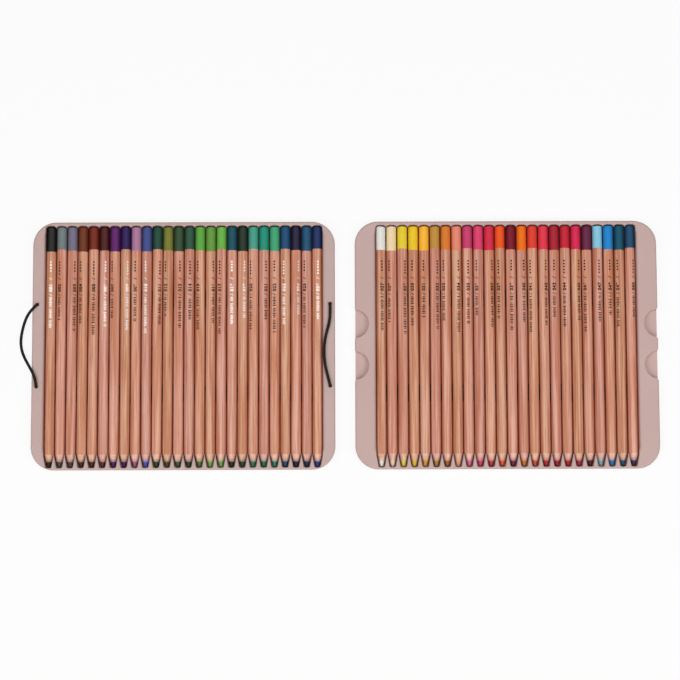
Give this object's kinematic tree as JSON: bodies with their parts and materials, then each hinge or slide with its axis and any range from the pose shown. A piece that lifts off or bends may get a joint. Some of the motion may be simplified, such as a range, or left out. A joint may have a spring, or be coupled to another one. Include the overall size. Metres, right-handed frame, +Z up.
{
  "type": "coloured pencil set",
  "caption": "Round cedar coloured pencils lying in two formed trays, side by side: one with elastic lifting loops, one with thumb recesses.",
  "frame": {"origin": "on the surface that the trays lie on, midway between them", "axes": "+X across the pencils from the upper tray to the lower tray, +Y from their points to their dipped ends, +Z up"},
  "size_m": [0.4681, 0.1824, 0.0124],
  "materials": {
    "upper_tray_sheet": "matte formed polystyrene sheet, dusty pink",
    "lower_tray_sheet": "matte formed polystyrene sheet, dusty pink",
    "elastic_cord": "braided elastic cord",
    "black": "clear-coated cedar with an end dipped in lacquer of this colour",
    "grey_green": "clear-coated cedar with an end dipped in lacquer of this colour",
    "violet_grey": "clear-coated cedar with an end dipped in lacquer of this colour",
    "umber": "clear-coated cedar with an end dipped in lacquer of this colour",
    "brick_brown": "clear-coated cedar with an end dipped in lacquer of this colour",
    "sepia": "clear-coated cedar with an end dipped in lacquer of this colour",
    "purple": "clear-coated cedar with an end dipped in lacquer of this colour",
    "deep_violet": "clear-coated cedar with an end dipped in lacquer of this colour",
    "mauve": "clear-coated cedar with an end dipped in lacquer of this colour",
    "blue_violet": "clear-coated cedar with an end dipped in lacquer of this colour",
    "viridian": "clear-coated cedar with an end dipped in lacquer of this colour",
    "olive": "clear-coated cedar with an end dipped in lacquer of this colour",
    "sap_green": "clear-coated cedar with an end dipped in lacquer of this colour",
    "deep_green": "clear-coated cedar with an end dipped in lacquer of this colour",
    "leaf_green": "clear-coated cedar with an end dipped in lacquer of this colour",
    "moss_green": "clear-coated cedar with an end dipped in lacquer of this colour",
    "grass_green": "clear-coated cedar with an end dipped in lacquer of this colour",
    "teal_blue": "clear-coated cedar with an end dipped in lacquer of this colour",
    "blackish_green": "clear-coated cedar with an end dipped in lacquer of this colour",
    "turquoise_green": "clear-coated cedar with an end dipped in lacquer of this colour",
    "jade": "clear-coated cedar with an end dipped in lacquer of this colour",
    "light_green": "clear-coated cedar with an end dipped in lacquer of this colour",
    "steel_blue": "clear-coated cedar with an end dipped in lacquer of this colour",
    "indigo": "clear-coated cedar with an end dipped in lacquer of this colour",
    "cyan_blue": "clear-coated cedar with an end dipped in lacquer of this colour",
    "ultramarine": "clear-coated cedar with an end dipped in lacquer of this colour",
    "white": "clear-coated cedar with an end dipped in lacquer of this colour",
    "cream": "clear-coated cedar with an end dipped in lacquer of this colour",
    "lemon": "clear-coated cedar with an end dipped in lacquer of this colour",
    "yellow": "clear-coated cedar with an end dipped in lacquer of this colour",
    "golden_yellow": "clear-coated cedar with an end dipped in lacquer of this colour",
    "ochre": "clear-coated cedar with an end dipped in lacquer of this colour",
    "brown_orange": "clear-coated cedar with an end dipped in lacquer of this colour",
    "salmon": "clear-coated cedar with an end dipped in lacquer of this colour",
    "magenta_pink": "clear-coated cedar with an end dipped in lacquer of this colour",
    "hot_pink": "clear-coated cedar with an end dipped in lacquer of this colour",
    "coral": "clear-coated cedar with an end dipped in lacquer of this colour",
    "orange_red": "clear-coated cedar with an end dipped in lacquer of this colour",
    "maroon": "clear-coated cedar with an end dipped in lacquer of this colour",
    "orange": "clear-coated cedar with an end dipped in lacquer of this colour",
    "vermilion": "clear-coated cedar with an end dipped in lacquer of this colour",
    "coral_red": "clear-coated cedar with an end dipped in lacquer of this colour",
    "dark_red": "clear-coated cedar with an end dipped in lacquer of this colour",
    "crimson": "clear-coated cedar with an end dipped in lacquer of this colour",
    "raspberry": "clear-coated cedar with an end dipped in lacquer of this colour",
    "aubergine": "clear-coated cedar with an end dipped in lacquer of this colour",
    "sky_turquoise": "clear-coated cedar with an end dipped in lacquer of this colour",
    "primary_blue": "clear-coated cedar with an end dipped in lacquer of this colour",
    "deep_teal": "clear-coated cedar with an end dipped in lacquer of this colour",
    "slate_navy": "clear-coated cedar with an end dipped in lacquer of this colour"
  },
  "bodies": {
    "lower_tray": {"lower_tray": "lower_tray_sheet"},
    "upper_tray": {"upper_tray": "upper_tray_sheet", "left_cord_knots": "elastic_cord", "right_cord_knots": "elastic_cord"},
    "left_cord": {"left_lift_cord": "elastic_cord"},
    "right_cord": {"right_lift_cord": "elastic_cord"},
    "black_pencil": {"black_pencil": "black"},
    "grey_green_pencil": {"grey_green_pencil": "grey_green"},
    "violet_grey_pencil": {"violet_grey_pencil": "violet_grey"},
    "umber_pencil": {"umber_pencil": "umber"},
    "brick_brown_pencil": {"brick_brown_pencil": "brick_brown"},
    "sepia_pencil": {"sepia_pencil": "sepia"},
    "purple_pencil": {"purple_pencil": "purple"},
    "deep_violet_pencil": {"deep_violet_pencil": "deep_violet"},
    "mauve_pencil": {"mauve_pencil": "mauve"},
    "blue_violet_pencil": {"blue_violet_pencil": "blue_violet"},
    "viridian_pencil": {"viridian_pencil": "viridian"},
    "olive_pencil": {"olive_pencil": "olive"},
    "sap_green_pencil": {"sap_green_pencil": "sap_green"},
    "deep_green_pencil": {"deep_green_pencil": "deep_green"},
    "leaf_green_pencil": {"leaf_green_pencil": "leaf_green"},
    "moss_green_pencil": {"moss_green_pencil": "moss_green"},
    "grass_green_pencil": {"grass_green_pencil": "grass_green"},
    "teal_blue_pencil": {"teal_blue_pencil": "teal_blue"},
    "blackish_green_pencil": {"blackish_green_pencil": "blackish_green"},
    "turquoise_green_pencil": {"turquoise_green_pencil": "turquoise_green"},
    "jade_pencil": {"jade_pencil": "jade"},
    "light_green_pencil": {"light_green_pencil": "light_green"},
    "steel_blue_pencil": {"steel_blue_pencil": "steel_blue"},
    "indigo_pencil": {"indigo_pencil": "indigo"},
    "cyan_blue_pencil": {"cyan_blue_pencil": "cyan_blue"},
    "ultramarine_pencil": {"ultramarine_pencil": "ultramarine"},
    "white_pencil": {"white_pencil": "white"},
    "cream_pencil": {"cream_pencil": "cream"},
    "lemon_pencil": {"lemon_pencil": "lemon"},
    "yellow_pencil": {"yellow_pencil": "yellow"},
    "golden_yellow_pencil": {"golden_yellow_pencil": "golden_yellow"},
    "ochre_pencil": {"ochre_pencil": "ochre"},
    "brown_orange_pencil": {"brown_orange_pencil": "brown_orange"},
    "salmon_pencil": {"salmon_pencil": "salmon"},
    "magenta_pink_pencil": {"magenta_pink_pencil": "magenta_pink"},
    "hot_pink_pencil": {"hot_pink_pencil": "hot_pink"},
    "coral_pencil": {"coral_pencil": "coral"},
    "orange_red_pencil": {"orange_red_pencil": "orange_red"},
    "maroon_pencil": {"maroon_pencil": "maroon"},
    "orange_pencil": {"orange_pencil": "orange"},
    "vermilion_pencil": {"vermilion_pencil": "vermilion"},
    "coral_red_pencil": {"coral_red_pencil": "coral_red"},
    "dark_red_pencil": {"dark_red_pencil": "dark_red"},
    "crimson_pencil": {"crimson_pencil": "crimson"},
    "raspberry_pencil": {"raspberry_pencil": "raspberry"},
    "aubergine_pencil": {"aubergine_pencil": "aubergine"},
    "sky_turquoise_pencil": {"sky_turquoise_pencil": "sky_turquoise"},
    "primary_blue_pencil": {"primary_blue_pencil": "primary_blue"},
    "deep_teal_pencil": {"deep_teal_pencil": "deep_teal"},
    "slate_navy_pencil": {"slate_navy_pencil": "slate_navy"}
  },
  "joints": [
    {"name": "lift_upper_tray", "type": "slide", "parent": "lower_tray", "child": "upper_tray", "axis": [0, 0, 1], "range_m": [0, 0.06]},
    {"name": "cord_swing_left", "type": "hinge", "parent": "upper_tray", "child": "left_cord", "pos_m": [-0.22533, 0, 0.01063], "axis": [0, 1, 0], "range_deg": [0, 125]},
    {"name": "cord_swing_right", "type": "hinge", "parent": "upper_tray", "child": "right_cord", "pos_m": [-0.01095, 0, 0.01063], "axis": [0, 1, 0], "range_deg": [0, 95]},
    {"name": "take_out_black", "type": "slide", "parent": "upper_tray", "child": "black_pencil", "axis": [0, 0, 1], "range_m": [0, 0.03]},
    {"name": "take_out_grey_green", "type": "slide", "parent": "upper_tray", "child": "grey_green_pencil", "axis": [0, 0, 1], "range_m": [0, 0.03]},
    {"name": "take_out_violet_grey", "type": "slide", "parent": "upper_tray", "child": "violet_grey_pencil", "axis": [0, 0, 1], "range_m": [0, 0.03]},
    {"name": "take_out_umber", "type": "slide", "parent": "upper_tray", "child": "umber_pencil", "axis": [0, 0, 1], "range_m": [0, 0.03]},
    {"name": "take_out_brick_brown", "type": "slide", "parent": "upper_tray", "child": "brick_brown_pencil", "axis": [0, 0, 1], "range_m": [0, 0.03]},
    {"name": "take_out_sepia", "type": "slide", "parent": "upper_tray", "child": "sepia_pencil", "axis": [0, 0, 1], "range_m": [0, 0.03]},
    {"name": "take_out_purple", "type": "slide", "parent": "upper_tray", "child": "purple_pencil", "axis": [0, 0, 1], "range_m": [0, 0.03]},
    {"name": "take_out_deep_violet", "type": "slide", "parent": "upper_tray", "child": "deep_violet_pencil", "axis": [0, 0, 1], "range_m": [0, 0.03]},
    {"name": "take_out_mauve", "type": "slide", "parent": "upper_tray", "child": "mauve_pencil", "axis": [0, 0, 1], "range_m": [0, 0.03]},
    {"name": "take_out_blue_violet", "type": "slide", "parent": "upper_tray", "child": "blue_violet_pencil", "axis": [0, 0, 1], "range_m": [0, 0.03]},
    {"name": "take_out_viridian", "type": "slide", "parent": "upper_tray", "child": "viridian_pencil", "axis": [0, 0, 1], "range_m": [0, 0.03]},
    {"name": "take_out_olive", "type": "slide", "parent": "upper_tray", "child": "olive_pencil", "axis": [0, 0, 1], "range_m": [0, 0.03]},
    {"name": "take_out_sap_green", "type": "slide", "parent": "upper_tray", "child": "sap_green_pencil", "axis": [0, 0, 1], "range_m": [0, 0.03]},
    {"name": "take_out_deep_green", "type": "slide", "parent": "upper_tray", "child": "deep_green_pencil", "axis": [0, 0, 1], "range_m": [0, 0.03]},
    {"name": "take_out_leaf_green", "type": "slide", "parent": "upper_tray", "child": "leaf_green_pencil", "axis": [0, 0, 1], "range_m": [0, 0.03]},
    {"name": "take_out_moss_green", "type": "slide", "parent": "upper_tray", "child": "moss_green_pencil", "axis": [0, 0, 1], "range_m": [0, 0.03]},
    {"name": "take_out_grass_green", "type": "slide", "parent": "upper_tray", "child": "grass_green_pencil", "axis": [0, 0, 1], "range_m": [0, 0.03]},
    {"name": "take_out_teal_blue", "type": "slide", "parent": "upper_tray", "child": "teal_blue_pencil", "axis": [0, 0, 1], "range_m": [0, 0.03]},
    {"name": "take_out_blackish_green", "type": "slide", "parent": "upper_tray", "child": "blackish_green_pencil", "axis": [0, 0, 1], "range_m": [0, 0.03]},
    {"name": "take_out_turquoise_green", "type": "slide", "parent": "upper_tray", "child": "turquoise_green_pencil", "axis": [0, 0, 1], "range_m": [0, 0.03]},
    {"name": "take_out_jade", "type": "slide", "parent": "upper_tray", "child": "jade_pencil", "axis": [0, 0, 1], "range_m": [0, 0.03]},
    {"name": "take_out_light_green", "type": "slide", "parent": "upper_tray", "child": "light_green_pencil", "axis": [0, 0, 1], "range_m": [0, 0.03]},
    {"name": "take_out_steel_blue", "type": "slide", "parent": "upper_tray", "child": "steel_blue_pencil", "axis": [0, 0, 1], "range_m": [0, 0.03]},
    {"name": "take_out_indigo", "type": "slide", "parent": "upper_tray", "child": "indigo_pencil", "axis": [0, 0, 1], "range_m": [0, 0.03]},
    {"name": "take_out_cyan_blue", "type": "slide", "parent": "upper_tray", "child": "cyan_blue_pencil", "axis": [0, 0, 1], "range_m": [0, 0.03]},
    {"name": "take_out_ultramarine", "type": "slide", "parent": "upper_tray", "child": "ultramarine_pencil", "axis": [0, 0, 1], "range_m": [0, 0.03]},
    {"name": "take_out_white", "type": "slide", "parent": "lower_tray", "child": "white_pencil", "axis": [0, 0, 1], "range_m": [0, 0.03]},
    {"name": "take_out_cream", "type": "slide", "parent": "lower_tray", "child": "cream_pencil", "axis": [0, 0, 1], "range_m": [0, 0.03]},
    {"name": "take_out_lemon", "type": "slide", "parent": "lower_tray", "child": "lemon_pencil", "axis": [0, 0, 1], "range_m": [0, 0.03]},
    {"name": "take_out_yellow", "type": "slide", "parent": "lower_tray", "child": "yellow_pencil", "axis": [0, 0, 1], "range_m": [0, 0.03]},
    {"name": "take_out_golden_yellow", "type": "slide", "parent": "lower_tray", "child": "golden_yellow_pencil", "axis": [0, 0, 1], "range_m": [0, 0.03]},
    {"name": "take_out_ochre", "type": "slide", "parent": "lower_tray", "child": "ochre_pencil", "axis": [0, 0, 1], "range_m": [0, 0.03]},
    {"name": "take_out_brown_orange", "type": "slide", "parent": "lower_tray", "child": "brown_orange_pencil", "axis": [0, 0, 1], "range_m": [0, 0.03]},
    {"name": "take_out_salmon", "type": "slide", "parent": "lower_tray", "child": "salmon_pencil", "axis": [0, 0, 1], "range_m": [0, 0.03]},
    {"name": "take_out_magenta_pink", "type": "slide", "parent": "lower_tray", "child": "magenta_pink_pencil", "axis": [0, 0, 1], "range_m": [0, 0.03]},
    {"name": "take_out_hot_pink", "type": "slide", "parent": "lower_tray", "child": "hot_pink_pencil", "axis": [0, 0, 1], "range_m": [0, 0.03]},
    {"name": "take_out_coral", "type": "slide", "parent": "lower_tray", "child": "coral_pencil", "axis": [0, 0, 1], "range_m": [0, 0.03]},
    {"name": "take_out_orange_red", "type": "slide", "parent": "lower_tray", "child": "orange_red_pencil", "axis": [0, 0, 1], "range_m": [0, 0.03]},
    {"name": "take_out_maroon", "type": "slide", "parent": "lower_tray", "child": "maroon_pencil", "axis": [0, 0, 1], "range_m": [0, 0.03]},
    {"name": "take_out_orange", "type": "slide", "parent": "lower_tray", "child": "orange_pencil", "axis": [0, 0, 1], "range_m": [0, 0.03]},
    {"name": "take_out_vermilion", "type": "slide", "parent": "lower_tray", "child": "vermilion_pencil", "axis": [0, 0, 1], "range_m": [0, 0.03]},
    {"name": "take_out_coral_red", "type": "slide", "parent": "lower_tray", "child": "coral_red_pencil", "axis": [0, 0, 1], "range_m": [0, 0.03]},
    {"name": "take_out_dark_red", "type": "slide", "parent": "lower_tray", "child": "dark_red_pencil", "axis": [0, 0, 1], "range_m": [0, 0.03]},
    {"name": "take_out_crimson", "type": "slide", "parent": "lower_tray", "child": "crimson_pencil", "axis": [0, 0, 1], "range_m": [0, 0.03]},
    {"name": "take_out_raspberry", "type": "slide", "parent": "lower_tray", "child": "raspberry_pencil", "axis": [0, 0, 1], "range_m": [0, 0.03]},
    {"name": "take_out_aubergine", "type": "slide", "parent": "lower_tray", "child": "aubergine_pencil", "axis": [0, 0, 1], "range_m": [0, 0.03]},
    {"name": "take_out_sky_turquoise", "type": "slide", "parent": "lower_tray", "child": "sky_turquoise_pencil", "axis": [0, 0, 1], "range_m": [0, 0.03]},
    {"name": "take_out_primary_blue", "type": "slide", "parent": "lower_tray", "child": "primary_blue_pencil", "axis": [0, 0, 1], "range_m": [0, 0.03]},
    {"name": "take_out_deep_teal", "type": "slide", "parent": "lower_tray", "child": "deep_teal_pencil", "axis": [0, 0, 1], "range_m": [0, 0.03]},
    {"name": "take_out_slate_navy", "type": "slide", "parent": "lower_tray", "child": "slate_navy_pencil", "axis": [0, 0, 1], "range_m": [0, 0.03]}
  ]
}
